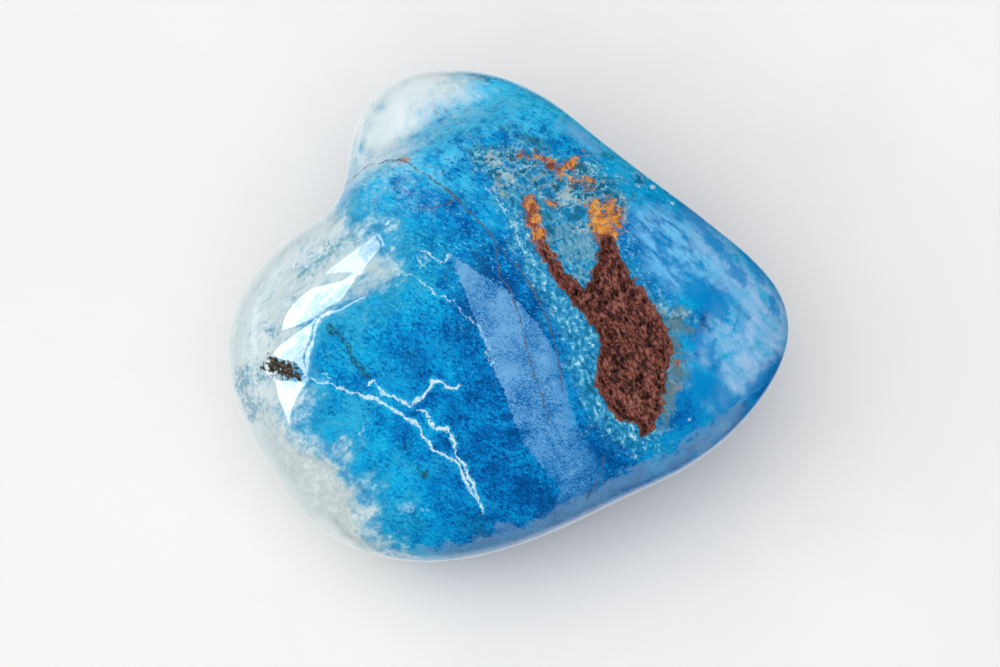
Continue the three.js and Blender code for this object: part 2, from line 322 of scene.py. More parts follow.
def besideLine(x, y, line):  # how far to the left of a line, and a fade past its two ends
    (ax, ay), (bx, by) = line["start"], line["end"]
    dx, dy = bx - ax, by - ay
    length = math.hypot(dx, dy)
    along = ((x - ax) * dx + (y - ay) * dy) / length
    left = ((y - ay) * dx - (x - ax) * dy) / length
    fade = smooth(-line["fade"], 0, along) * (1 - smooth(length, length + line["fade"], along))
    return left, fade


def insideOutline(x, y, outline):  # distance to a closed outline, positive inside it
    nearest = np.full(x.shape, np.inf)
    inside = np.zeros(x.shape, bool)
    for (ax, ay), (bx, by) in zip(outline, outline[1:] + outline[:1]):
        dx, dy = bx - ax, by - ay
        along = np.clip(((x - ax) * dx + (y - ay) * dy) / (dx * dx + dy * dy), 0, 1)
        nearest = np.minimum(nearest, np.hypot(x - ax - along * dx, y - ay - along * dy))
        if dy:
            inside ^= ((ay > y) != (by > y)) & (x < ax + (y - ay) * dx / dy)
    return np.where(inside, nearest, -nearest)


def besideVein(x, y, vein):  # signed distance to an open line, and a fade at its two ends
    steps = [math.dist(a, b) for a, b in zip(vein, vein[1:])]
    ways = [((bx - ax) / step, (by - ay) / step)
            for (ax, ay), (bx, by), step in zip(vein, vein[1:], steps)]
    length, done = sum(steps), 0
    best = np.full(x.shape, np.inf)
    offset, fade = np.full(x.shape, farAway), np.zeros(x.shape)
    for index, ((ax, ay), (dx, dy), step) in enumerate(zip(vein, ways, steps)):
        raw = (x - ax) * dx + (y - ay) * dy
        along = np.clip(raw, 0, step)
        toX, toY = x - ax - along * dx, y - ay - along * dy
        away = np.hypot(toX, toY)
        before, after = ways[max(index - 1, 0)], ways[min(index + 1, len(ways) - 1)]
        cornerX = np.where(raw < 0, before[0], np.where(raw > step, after[0], dx)) + dx
        cornerY = np.where(raw < 0, before[1], np.where(raw > step, after[1], dy)) + dy
        side = np.where(toY * cornerX - toX * cornerY < 0, -1.0, 1.0)
        closer = away < best
        best = np.where(closer, away, best)
        offset = np.where(closer, away * side, offset)
        run = done + raw
        ends = smooth(-0.1, 0.3, run) * (1 - smooth(length - 0.3, length + 0.1, run))  # tapers
        fade = np.where(closer, ends, fade)
        done += step
    return offset, fade * (1 - smooth(0.22, 0.34, best))    # none past the finely split strip


def insideStrokes(x, y, marks):  # how far inside the nearest stroke
    inside = np.full(x.shape, -farAway)
    for ax, ay, bx, by, half in marks:
        dx, dy = bx - ax, by - ay
        along = np.clip(((x - ax) * dx + (y - ay) * dy) / max(dx * dx + dy * dy, 1e-6), 0, 1)
        inside = np.maximum(inside, half - np.hypot(x - ax - along * dx, y - ay - along * dy))
    return inside


radiusTable = edgeCurve(0, stoneForm["edgeBlur"])
dropTable = edgeCurve(1, stoneForm["edgeBlur"])
underTable = edgeCurve(0, stoneForm["undersideBlur"])


# Across, up and out of the face for each direction from the stone's middle, and the rise,
# which is 1 at the middle of the face, 0 at the widest line and -1 at the seat.
def stoneSurface(directions):
    a, b, c = directions.T
    sine = np.maximum(np.hypot(a, b), 1e-9)
    degrees = np.degrees(np.arctan2(b, a)) % 360
    power = stoneForm["sectionPower"]
    size = (sine**power + np.abs(c)**power)**(-1 / power)
    out, rise = sine * size, c * size
    under = np.maximum(-rise, 0)
    edgeRadius = np.interp(degrees, *radiusTable)
    underRadius = np.interp(degrees, *underTable) * stoneForm["undersideShrink"]
    innerRadius = np.interp(degrees, *underTable)
    onFace = (1 - smooth(stoneForm["innerReach"], 1, out)) * (rise > 0)
    radius = edgeRadius + (underRadius - edgeRadius) * smooth(0.1, 1, -rise)
    radius = (radius + (innerRadius - radius) * onFace) * out
    x, y = radius * a / sine, radius * b / sine
    depth = -np.interp(degrees, *dropTable) * (1 - np.abs(rise))
    ridge, shoulder, pit = stoneForm["ridge"], stoneForm["shoulder"], stoneForm["pit"]
    left, fade = besideLine(x, y, ridge)
    ridgeFall = ridge["slope"] * (np.hypot(left, ridge["rounding"]) - ridge["rounding"]) * fade
    left, fade = besideLine(x, y, shoulder)
    shoulderFall = shoulder["drop"] * smooth(0, shoulder["width"], left) * fade
    upper = np.maximum(rise, 0)
    depth -= upper * (2 - upper) * ridgeFall + (1 - under) * shoulderFall
    reach = np.hypot((x - pit["at"][0]) / pit["halfLength"], (y - pit["at"][1]) / pit["halfWidth"])
    depth -= np.where(rise > 0, pit["depth"] * (1 - smooth(0.4, 1, reach)), 0)
    y = y - stoneForm["seatForward"] * under**2
    depth += under * (-stoneForm["bodyDepth"] - y * faceUp[2]) / faceOut[2]
    wave = np.sin(3.1 * a + 1.2) * np.sin(3.6 * b + 0.4) + np.sin(4.3 * c - 2.9 * a)
    depth += 0.5 * stoneForm["swell"] * wave * rise
    return x, y, depth, rise


def toPart(x, y, depth):  # the same as facePoint, for many places at once
    return np.outer(x, faceRight) + np.outer(y, faceUp) + np.outer(depth, faceOut)


def directionsOf(bm):
    places = np.array([vert.co[:] for vert in bm.verts])
    return places / np.linalg.norm(places, axis=1)[:, None]


def grainAt(x, y, depth, scale, octaves, shift=0.0):
    dimension, gap = 0.8, 2.1    # how rough the noise is, and the step between its octaves
    return np.array([
        noise.fractal(Vector((a * scale + shift, b * scale, c * scale)), dimension, gap, octaves)
        for a, b, c in zip(x, y, depth)
    ])


def insideQuartz(x, y, depth):  # how far inside the quartz, whose border wanders slowly
    wander = stoneForm["borderWander"] * grainAt(x, y, depth, 0.6, 3)
    return insideOutline(x, y, markings["quartz"]) + wander


def newBall(subdivisions):
    bm = bmesh.new()
    bmesh.ops.create_icosphere(bm, subdivisions=subdivisions, radius=1)
    return bm


def splitNear(bm, near):  # splits each edge of the face that has both ends near a marking
    x, y, depth, rise = stoneSurface(directionsOf(bm))
    flags = near(x, y) & (rise > 0)
    bm.verts.ensure_lookup_table()
    bm.verts.index_update()
    edges = [edge for edge in bm.edges if all(flags[vert.index] for vert in edge.verts)]
    bmesh.ops.subdivide_edges(bm, edges=edges, cuts=1, use_grid_fill=False)
    bmesh.ops.triangulate(bm, faces=[face for face in bm.faces if len(face.verts) > 3])
    for vert in bm.verts:
        vert.co.normalize()


# The stone's own seat and centre, as the solid has them.
ball = newBall(stoneForm["meshSteps"] - 1)
x, y, depth, rise = stoneSurface(directionsOf(ball))
ball.free()
ballPlaces = toPart(x, y, depth)
seatLevel = ballPlaces[:, 2].min() + stoneForm["seatTrim"]
middle = (ballPlaces.max(0) + ballPlaces.min(0)) / 2
stoneShift = np.array((-middle[0], -middle[1], -seatLevel))
print("stone shift", np.round(stoneShift, 3))


def placeOnFace(x, y, out):  # a place from the middle of the finished stone's face, in metres
    return (facePoint(x, y, out) + Vector(stoneShift)) * mm


view = {
    "lens": 100,
    "distance": 135.2,        # millimetres, square out of the broad face
    "aim": (-0.23, -0.96),    # millimetres across and up the face
    "clipStart": 0.01,
}


def newObject(name, data):
    made = bpy.data.objects.new(name, data)
    bpy.context.collection.objects.link(made)
    return made


cameraData = bpy.data.cameras.new("viewCamera")
cameraData.lens = view["lens"]
cameraData.clip_start = view["clipStart"]
camera = newObject("viewCamera", cameraData)
camera.location = placeOnFace(*view["aim"], view["distance"])
camera.rotation_euler = Euler((lean, 0, 0))
bpy.context.scene.camera = camera


def newTree(owner):  # empties the node tree of a material or a world
    owner.use_nodes = True
    owner.node_tree.nodes.clear()
    return owner.node_tree


# The helpers below work in tree, whichever node tree is being made.
def connect(socket, value):
    if isinstance(value, bpy.types.NodeSocket):
        tree.links.new(value, socket)
    else:
        socket.default_value = value


def newNode(kind, inputs=(), **settings):
    node = tree.nodes.new(kind)
    for name, value in settings.items():
        setattr(node, name, value)
    for key, value in dict(inputs).items():
        connect(node.inputs[key], value)
    return node


def stretched(vector, lengths, turn=(0, 0, 0)):  # turned, then drawn out along its axes
    settings = {"Vector": vector, "Rotation": turn, "Scale": lengths}
    return newNode("ShaderNodeMapping", settings, vector_type="TEXTURE").outputs[0]


def noiseValue(vector, scale, detail=3.0, roughness=0.55, distortion=0.0):
    return newNode("ShaderNodeTexNoise", {
        "Vector": vector, "Scale": scale, "Detail": detail, "Roughness": roughness,
        "Distortion": distortion,
    }).outputs[0]


def math2(operation, a, b=0.0, clamp=False):
    node = newNode("ShaderNodeMath", {0: a, 1: b}, operation=operation, use_clamp=clamp)
    return node.outputs[0]


# From start to end as the value goes from low to high.
def between(value, low, high, start=0.0, end=1.0, kind="SMOOTHSTEP"):
    return newNode("ShaderNodeMapRange", {
        "Value": value, "From Min": low, "From Max": high, "To Min": start, "To Max": end,
    }, interpolation_type=kind).outputs[0]


def mixed(factor, a, b):
    node = tree.nodes.new("ShaderNodeMix")
    node.data_type = "RGBA"
    sockets = {socket.identifier: socket for socket in node.inputs}
    connect(sockets["Factor_Float"], factor)
    for key, tint in (("A_Color", a), ("B_Color", b)):
        connect(sockets[key], (*tint, 1) if isinstance(tint, tuple) else tint)
    return next(socket for socket in node.outputs if socket.identifier == "Result_Color")


def attribute(name):
    return newNode("ShaderNodeAttribute", attribute_name=name).outputs["Fac"]


def newGroup(name, inputs, outputs):
    group = bpy.data.node_groups.new(name, "ShaderNodeTree")
    for label, kind in inputs:
        group.interface.new_socket(label, in_out="INPUT", socket_type=kind)
    for label, kind in outputs:
        group.interface.new_socket(label, in_out="OUTPUT", socket_type=kind)
    given = group.nodes.new("NodeGroupInput").outputs
    return group, given, group.nodes.new("NodeGroupOutput").inputs


def useGroup(group, inputs):
    node = tree.nodes.new("ShaderNodeGroup")
    node.node_tree = group
    for key, value in inputs.items():
        connect(node.inputs[key], value)
    return node.outputs


def plus(a, b):
    return math2("ADD", a, b)


def larger(a, b):
    return math2("MAXIMUM", a, b)


def times(first, *others):
    for other in others:
        first = math2("MULTIPLY", first, other)
    return first


def centred(value):  # noise lies around a half, and this brings its middle to nought
    return math2("SUBTRACT", value, 0.5)


def awayFrom(value, centre):
    return math2("ABSOLUTE", math2("SUBTRACT", value, centre))


# A thin line of mineral: full inside its width, wandering, swelling and broken along its length.
number, vector = "NodeSocketFloat", "NodeSocketVector"
veinGroup, given, result = newGroup(
    "mineralVein",
    [("Offset", number), ("Fade", number), ("Vector", vector),
     ("Width", number), ("Wander", number), ("Breaks", number)],
    [("Mask", number)],
)
tree = veinGroup
wander = times(centred(noiseValue(given["Vector"], 2.2, 4, 0.65)), given["Wander"])
away = math2("ABSOLUTE", plus(given["Offset"], wander))
swing = between(noiseValue(given["Vector"], 1.6, 5, 0.75), 0.34, 0.66, 0.15, 1.7)
width = times(given["Width"], swing, given["Fade"])
line = between(math2("DIVIDE", away, plus(width, 0.001)), 1.3, 0.5)
gaps = between(noiseValue(given["Vector"], 4.0, 5, 0.75), 0.40, 0.56)
gaps = mixed(given["Breaks"], (1, 1, 1), gaps)
tree.links.new(times(line, gaps), result["Mask"])


# Every colour of the stone and of its painted sheen and reflections, its finish, and how its
# patterns and veins run.
stoneColours = {
    "ink": (0.0005, 0.065, 0.25),
    "grainBlue": (0.0005, 0.11, 0.37),
    "deepBlue": (0.001, 0.165, 0.51),
    "midBlue": (0.001, 0.225, 0.58),
    "cyan": (0.002, 0.275, 0.61),
    "skyBlue": (0.002, 0.375, 0.71),
    "tick": (0.015, 0.46, 0.78),
    "spark": (0.12, 0.60, 0.85),
    "hazeReflectionBlue": (0.06, 0.46, 0.73),
    "upperHaze": (0.05, 0.55, 0.87),
    "hazeReflectionPale": (0.33, 0.66, 0.86),
    "cyanHaze": (0.04, 0.40, 0.66),
    "fleck": (0.50, 0.80, 0.90),
    # painted sheen and reflection: the band beside the ridge (partly the stone's own paler colour),
    # the oval towards the upper right and the haze near the tip
    "silkGrain": (0.02, 0.19, 0.50),
    "silk": (0.095, 0.32, 0.63),
    "silkPale": (0.17, 0.42, 0.74),
    "backSheenPale": (0.17, 0.58, 0.95),
    "tipSheenBlue": (0.25, 0.53, 0.84),
    "tipSheenMist": (0.38, 0.61, 0.88),
    "turquoise": (0.03, 0.33, 0.50),
    "lagoon": (0.002, 0.30, 0.54),
    "teal": (0.014, 0.20, 0.36),
    "darkTeal": (0.008, 0.10, 0.18),
    "tealGrey": (0.06, 0.28, 0.45),
    "wedgeGrey": (0.16, 0.34, 0.47),
    "milk": (0.69, 0.80, 0.83),
    "milkWarm": (0.66, 0.72, 0.70),
    "milkShade": (0.55, 0.64, 0.65),
    "milkTeal": (0.15, 0.47, 0.66),
    "milkBlue": (0.24, 0.60, 0.78),
    "white": (0.82, 0.88, 0.89),
    "veinWhite": (0.64, 0.86, 0.95),
    "cream": (0.45, 0.54, 0.51),
    "sage": (0.11, 0.19, 0.22),
    "tan": (0.30, 0.24, 0.17),
    "rimPale": (0.30, 0.66, 0.72),
    "amber": (0.90, 0.38, 0.03),
    "ochre": (0.62, 0.26, 0.03),
    "brick": (0.42, 0.12, 0.06),
    "rust": (0.18, 0.045, 0.02),
    "patchDark": (0.020, 0.002, 0.001),
    "patchShade": (0.075, 0.013, 0.008),
    "patchBrown": (0.25, 0.048, 0.030),
    "patchLight": (0.37, 0.088, 0.057),
    "patchPale": (0.42, 0.19, 0.15),
    "veinBrown": (0.09, 0.10, 0.11),
    "olive": (0.012, 0.07, 0.08),
    # painted reflection along the front rim
    "rimReflectionTint": (0.19, 0.36, 0.54),
    "pitDark": (0.010, 0.008, 0.007),
    "pitTan": (0.24, 0.18, 0.13),
}

stoneFinish = {
    "ior": 1.54,
    "polish": 0.06,
    "patchRoughness": 0.8,
    "coveredRoughness": 0.9,       # under the clear quartz, which has the polish instead
    "coveredFrom": (0.29, 0.305),  # millimetres inside the quartz's border
    "bumpStrength": 0.9,
    "bumpDistance": 0.00022,
    # each pattern's turn across the face in degrees, and how it is drawn out along its axes
    "flow": (-62, (1.0, 0.3, 0.5)),
    "haloFlow": (-62, (1.0, 0.5, 0.7)),
    "ticks": (-28, (1.0, 0.45, 0.6)),
    "sweep": (-42, (1.0, 0.35, 0.6)),
    "cloudFlow": (38, (1.0, 0.35, 0.6)),
    "wispFlow": (50, (1.0, 0.16, 0.4)),
}

# Each vein's colour, half width in millimetres, wander, how broken it is, and its strength.
veinLooks = (
    ("brownVein", "veinBrown", 0.046, 0.5, 0.5, 0.85),
    ("paleVein", "fleck", 0.045, 1.0, 0.8, 0.8),
    ("oliveVein", "olive", 0.22, 1.0, 0.8, 0.85),
    ("whiteVein", "tick", 0.20, 1.4, 1.0, 0.6),
    ("whiteVein", "veinWhite", 0.070, 0.6, 0.5, 0.95),
)

stoneMaterial = bpy.data.materials.new("polishedAjoite")
tree = newTree(stoneMaterial)
place = newNode("ShaderNodeTexCoord").outputs["Object"]
place = stretched(place, (mm, mm, mm), (lean, 0, 0))
placeX, placeY = newNode("ShaderNodeSeparateXYZ", {0: place}).outputs[:2]


def drawnOut(name):  # the space of one of the patterns
    turn, lengths = stoneFinish[name]
    return stretched(place, lengths, (0, 0, math.radians(turn)))


flow, haloFlow, ticks = drawnOut("flow"), drawnOut("haloFlow"), drawnOut("ticks")
sweep, cloudFlow, wispFlow = drawnOut("sweep"), drawnOut("cloudFlow"), drawnOut("wispFlow")
quartzIn = attribute("quartz")
ragged = centred(noiseValue(place, 1.1, 6, 0.68))
raggedFine = centred(noiseValue(place, 4.5, 4, 0.65))


def uneven(name, reach, fineReach=0.0):  # a marking's distance field with its edge made ragged
    return plus(plus(attribute(name), times(ragged, reach)), times(raggedFine, fineReach))


def edged(name, reach, low, high, fineReach=0.0):
    return between(uneven(name, reach, fineReach), low, high)


def spots(scale, low, high, vector=place, detail=5, distortion=0.0):
    return between(noiseValue(vector, scale, detail, 0.68, distortion), low, high)


def tinted(value, *stops):  # a run of the stone's colours along a value
    node = newNode("ShaderNodeValToRGB", {"Fac": value})
    ramp = node.color_ramp
    for spot, name in stops:
        ramp.elements.new(spot).color = (*stoneColours[name], 1)
    ramp.elements.remove(ramp.elements[0])
    ramp.elements.remove(ramp.elements[-1])
    return node.outputs["Color"]


def painted(under, *layers):  # each layer says where it goes, its colour and its strength
    for mask, tint, *strength in layers:
        tint = stoneColours[tint] if isinstance(tint, str) else tint
        under = mixed(times(mask, *strength), under, tint)
    return under


# The blue mass: slow zones of colour, deeper beside the ridge, broken up by fine grains.
upper = edged("upper", 7.0, -0.9, 1.3)
smoothSide = between(placeX, 6.5, 9.5)
grainTone = mixed(upper, noiseValue(ticks, 3.4, 4, 0.66, 0.2), noiseValue(ticks, 2.9, 4, 0.62, 0.3))
grainReach = plus(between(upper, 0, 1, 0.5, 1.1), times(spots(0.5, 0.38, 0.62), 0.4))
grainReach = times(grainReach, between(smoothSide, 0, 1, 1.0, 0.35))
softTone = noiseValue(place, 0.5, 7, 0.62, 0.5)
tone = between(softTone, 0, 1, 0.05, 0.95, "LINEAR")
tone = plus(tone, times(centred(grainTone), grainReach))
besideRidge = between(attribute("silk"), -3.5, -0.2, 0.0, 0.065)
besideQuartz = between(quartzIn, -4.0, -0.5, 0.0, 0.08)
tone = plus(math2("SUBTRACT", tone, besideRidge), besideQuartz)
fineTone = centred(noiseValue(place, 8.5, 3, 0.6))
fineReach = times(between(smoothSide, 0, 1, 1.0, 0.3), spots(0.9, 0.36, 0.56))
tone = plus(plus(tone, times(fineTone, fineReach)), times(upper, 0.07))
blues = ("ink", "grainBlue", "deepBlue", "midBlue", "cyan", "skyBlue", "tick")
deepTone = tinted(tone, *zip((0.34, 0.41, 0.47, 0.53, 0.61, 0.73, 0.84), blues))
cyanTone = tinted(tone, *zip((0.28, 0.35, 0.41, 0.47, 0.53, 0.62, 0.76), blues))
cyanZone = larger(edged("quartz", 3.5, -3.8, -0.6), times(upper, 0.9))
zones = between(noiseValue(place, 0.22, 5, 0.6, 0.6), 0.44, 0.68, 0, 0.8)
zones = larger(zones, times(smoothSide, 0.5))
lagoonZone = times(edged("quartz", 8.0, -5.0, -1.0), spots(0.4, 0.44, 0.56, detail=6))
lagoonTint = tinted(tone, (0.36, "teal"), (0.48, "lagoon"), (0.62, "cyanHaze"))
lobeHaze = times(edged("lobePale", 11.0, -3.7, -0.2), spots(2.8, 0.34, 0.54, ticks))
hazeTint = tinted(noiseValue(ticks, 1.6, 6, 0.7, 0.3),
                  (0.34, "skyBlue"), (0.43, "upperHaze"), (0.56, "hazeReflectionPale"))
craze = awayFrom(noiseValue(place, 0.8, 5, 0.62, 0.5), 0.5)
flecks = times(spots(3.8, 0.595, 0.65, ticks, detail=3), between(placeY, -1.0, 4.0, 0.08, 1.0))
blotches = times(spots(1.3, 0.54, 0.64, detail=6, distortion=0.4),
                 between(softTone, 0.60, 0.44, 0.35, 1.0))
specks = times(spots(4.4, 0.57, 0.64, detail=3), between(softTone, 0.58, 0.46, 0.25, 1.0))
blue = painted(
    mixed(larger(cyanZone, zones), deepTone, cyanTone),
    (lagoonZone, lagoonTint, 0.6),
    (edged("bright", 1.0, -0.6, 0.2), "skyBlue", 0.85),
    (lobeHaze, hazeTint, 0.9),
    (times(upper, spots(2.0, 0.40, 0.54, ticks)), "upperHaze", 0.85),
    (times(upper, spots(2.8, 0.56, 0.63)), "teal", 0.35),
    (times(between(craze, 0.010, 0.002), spots(1.0, 0.48, 0.60)), "skyBlue", 0.5),
    (flecks, "spark", 0.7),
    (blotches, "grainBlue", 0.55),
    (specks, "ink", 0.7),
)

# Painted sheen and reflections. The pale silky band beside the ridge is partly the stone's own
# paler colour and partly painted reflection of the window; the streaked oval towards the upper
# right, the haze near the tip, the pale haze streaks and the pale band along the front rim are
# painted reflection.
sheenBandMask = times(
    edged("silk", 0.3, -0.02, 0.05, 0.5),
    between(plus(attribute("silkSide"), ragged), 0.5, -0.6),
    between(plus(placeY, times(ragged, 9)), -9.0, -4.0, 0.2, 0.9),
)
sheenBandTone = between(noiseValue(ticks, 7.5, 3, 0.6), 0, 1, 0.15, 0.85, "LINEAR")
sheenBandTone = plus(sheenBandTone, times(centred(softTone), 0.7))
sheenBandTone = plus(sheenBandTone, between(placeY, -6.0, 1.5, -0.04, 0.07))
sheenBandTint = tinted(sheenBandTone, (0.35, "grainBlue"), (0.44, "silkGrain"), (0.52, "silk"),
                  (0.62, "silkPale"))
# Painted reflection: curved pale streaks in an oval towards the upper right.
sheenStrands = noiseValue(sweep, 1.1, 6, 0.65, 0.3)
sheenStrandTint = tinted(sheenStrands, (0.36, "midBlue"), (0.44, "silk"), (0.58, "backSheenPale"))
backSheenMask = times(edged("silkBack", 2.0, -0.7, 0.6), between(sheenStrands, 0.34, 0.52, 0.5, 1.0))
# Painted reflection: the haze near the tip.
tipReflectionTint = tinted(noiseValue(sweep, 0.7, 6, 0.7, 0.4),
                 (0.36, "hazeReflectionBlue"), (0.50, "tipSheenBlue"), (0.62, "tipSheenMist"))
# Painted reflection: a pale band along the front rim.
rimOut = plus(attribute("reflectedRimLine"), times(ragged, 2.4))
reflectedRimBand = times(between(rimOut, 0.25, -0.20), between(rimOut, -1.4, -0.5))
blue = painted(
    blue,
    (sheenBandMask, sheenBandTint),
    (backSheenMask, sheenStrandTint, 0.9),
    # painted reflection: pale haze streaks
    (times(edged("hazeReflection", 1.2, -0.3, 0.3, 0.6), spots(0.9, 0.30, 0.50, flow)), "silkPale", 0.7),
    (times(edged("tipReflectionPale", 3.0, -0.9, 0.5), spots(1.2, 0.34, 0.54, detail=6)), tipReflectionTint, 0.8),
    (edged("tipReflectionHaze", 2.0, -0.7, 0.4), tipReflectionTint, 0.85),
    (edged("deep", 1.8, -0.26, 0.16, 0.6), "midBlue", 0.8),
    (reflectedRimBand, "rimReflectionTint", 0.5),
    (edged("dot", 0.0, -0.04, 0.06, 0.2), "fleck", 0.8),
)

# Rubble above the patch, the turquoise halo around it, and the small blots and rings.
rubbleTone = plus(noiseValue(ticks, 1.6, 5, 0.72, 0.6), times(raggedFine, 0.6))
cells = noiseValue(place, 1.05, 3, 0.6, 0.6)
cellRims = times(between(awayFrom(cells, 0.53), 0.022, 0.008), spots(3.0, 0.42, 0.56))
rubble = painted(
    tinted(rubbleTone, (0.37, "darkTeal"), (0.43, "teal"), (0.49, "cyan"), (0.55, "tealGrey"),
           (0.62, "milkTeal"), (0.71, "fleck")),
    (spots(2.4, 0.53, 0.62, detail=4, distortion=0.8), "sage", 0.35),
    (between(cells, 0.550, 0.580), "darkTeal", 0.75),
    (cellRims, "rimPale", 0.7),
)
haloTone = plus(noiseValue(haloFlow, 1.8, 6, 0.72, 0.4), times(raggedFine, 0.7))
haloTint = tinted(haloTone, (0.36, "darkTeal"), (0.42, "teal"), (0.47, "midBlue"),
                  (0.51, "tealGrey"), (0.56, "cyanHaze"), (0.61, "milkTeal"), (0.69, "fleck"))
wedgeTint = tinted(haloTone, (0.34, "teal"), (0.44, "tealGrey"), (0.56, "wedgeGrey"),
                   (0.70, "milkTeal"))
sageTint = tinted(noiseValue(place, 2.2, 5, 0.7, 0.5), (0.36, "darkTeal"), (0.44, "sage"),
                  (0.54, "tealGrey"), (0.62, "tan"), (0.72, "milkTeal"))
ringIn = uneven("ring", 0.5, 0.9)
blue = painted(
    blue,
    (edged("breccia", 3.4, -0.4, 0.5, 1.5), rubble),
    (edged("halo", 2.6, -0.3, 0.6, 1.0), haloTint, 0.9),
    (edged("wedge", 2.4, -0.3, 0.2, 2.0), wedgeTint, 0.85),
    (times(edged("sage", 2.0, -0.2, 0.4, 1.0), spots(1.6, 0.36, 0.50)), sageTint, 0.9),
    (edged("grey", 1.6, -0.15, 0.15, 1.5), "sage", 0.7),
    (times(edged("pale", 1.0, -0.10, 0.06, 0.8), spots(5.0, 0.42, 0.56)), "hazeReflectionPale", 0.6),
    (times(edged("cream", 1.0, -0.10, 0.08, 1.4), spots(3.2, 0.40, 0.52)), "cream", 0.65),
    (times(between(ringIn, -0.20, -0.04), spots(2.6, 0.42, 0.56)), "cream", 0.55),
    (between(ringIn, -0.08, 0.02), "cyan", 0.9),
    (between(ringIn, 0.02, 0.14), "darkTeal", 0.75),
    (edged("ink", 0.8, -0.10, 0.06, 1.2), "darkTeal", 0.6),
)
ochreTone = plus(noiseValue(place, 1.7, 6, 0.82, 0.6), between(placeX, 2.4, 3.2, -0.03, 0.0))
ochreTint = painted(
    tinted(ochreTone, (0.41, "rust"), (0.46, "brick"), (0.51, "ochre"), (0.57, "amber"),
           (0.70, "cream")),
    (times(spots(1.6, 0.46, 0.58), between(placeY, 5.6, 4.8)), "brick", 0.75),
    (spots(2.8, 0.57, 0.64), "teal", 0.7),
)

# The paler rear lobe and the milky quartz, which takes over by degrees.
lobeTint = tinted(noiseValue(place, 0.45, 7, 0.6, 0.3),
                  (0.30, "milkTeal"), (0.44, "milk"), (0.62, "white"))
blue = painted(
    blue,
    (edged("ochre", 1.6, -0.24, 0.10, 1.2), "rust", 0.5),
    (edged("ochre", 1.6, -0.10, 0.14, 1.2), ochreTint, 0.92),
    (edged("lobePale", 2.8, -1.2, 1.2), lobeTint, 0.95),
)
cloudTone = noiseValue(cloudFlow, 0.7, 7, 0.68, 0.5)
quartzEdge = plus(uneven("quartz", 4.0, 1.2), times(centred(cloudTone), 1.8))
coolMilk = tinted(cloudTone, (0.32, "milkShade"), (0.46, "milk"), (0.64, "white"))
warmMilk = tinted(cloudTone, (0.30, "milkShade"), (0.48, "milkWarm"), (0.66, "white"))
wisps = noiseValue(wispFlow, 1.3, 5, 0.68, 0.3)
paleWisps = times(between(wisps, 0.54, 0.64), between(quartzEdge, 0.9, 2.2))
darkWisps = times(between(wisps, 0.46, 0.38), between(placeY, -6.0, 0.0))
borderTint = tinted(cloudTone, (0.36, "milkTeal"), (0.50, "milkBlue"), (0.64, "milk"))
borderBlots = times(between(quartzEdge, 2.8, 0.8), spots(1.2, 0.49, 0.60, cloudFlow, detail=6))
upFlank = attribute("rise")
# Painted reflection: pale lines along the flank, parallel to the rim, over the milky quartz.
flankReflectionLines = newNode("ShaderNodeCombineXYZ", {0: upFlank}).outputs[0]
flankReflectionLines = between(noiseValue(flankReflectionLines, 14, 3, 0.6), 0.35, 0.55, 0.5, 1.0)
tealSpots = times(edged("teal", 1.4, -0.25, 0.2, 1.5), spots(1.8, 0.36, 0.56, cloudFlow))
milk = painted(
    mixed(between(placeY, -2.0, -7.0), coolMilk, warmMilk),
    (paleWisps, "white", 0.6),
    (darkWisps, "milkTeal", 0.4),
    (between(quartzEdge, 2.1, 0.5), borderTint, 0.65),
    (borderBlots, "cyanHaze", 0.65),
    (between(quartzEdge, 1.2, 0.1), "cyanHaze", 0.8),
    (between(quartzEdge, 0.6, -0.4), "lagoon", 0.85),
    (edged("smudge", 2.0, -0.35, 0.35, 1.5), "milkShade", 0.5),
    (times(between(upFlank, 0.34, 0.08), flankReflectionLines), "white", 0.75),
    (tealSpots, "turquoise", 0.75),
)
colour = painted(blue, (between(quartzEdge, -0.9, 0.7), milk))

for name, tint, width, wander, breaks, strength in veinLooks:
    for index in range(len(markings[name])):
        line = f"{name}{index}"
        mask = useGroup(veinGroup, {
            "Offset": attribute(line), "Fade": attribute(line + "Fade"),
            "Vector": place, "Width": width, "Wander": wander, "Breaks": breaks,
        })["Mask"]
        colour = painted(colour, (mask, tint, strength))

# The rough patch, and the small dark mineral in its pit.
roughIn = uneven("patch", 1.0, 0.6)
patchMask = between(roughIn, -0.03, 0.03)
patchTone = plus(noiseValue(haloFlow, 3.8, 6, 0.80, 0.2),
                 times(centred(noiseValue(haloFlow, 1.3, 4, 0.7, 0.6)), 0.5))
patchTint = painted(
    tinted(patchTone, (0.41, "patchDark"), (0.455, "patchShade"), (0.50, "patchBrown"),
           (0.545, "patchLight"), (0.60, "patchPale")),
    # painted shade: the deepest hollows of the rough floor are darkened
    (between(attribute("relief"), 0.44, 0.64), "patchDark", 0.7),
    (between(roughIn, 0.16, 0.03), "brick", 0.35),
)
pitMask = edged("pit", 0.6, -0.05, 0.04, 1.3)
pitTint = mixed(spots(5.0, 0.46, 0.64, ticks), stoneColours["pitDark"], stoneColours["pitTan"])
colour = painted(colour, (patchMask, patchTint), (pitMask, pitTint))

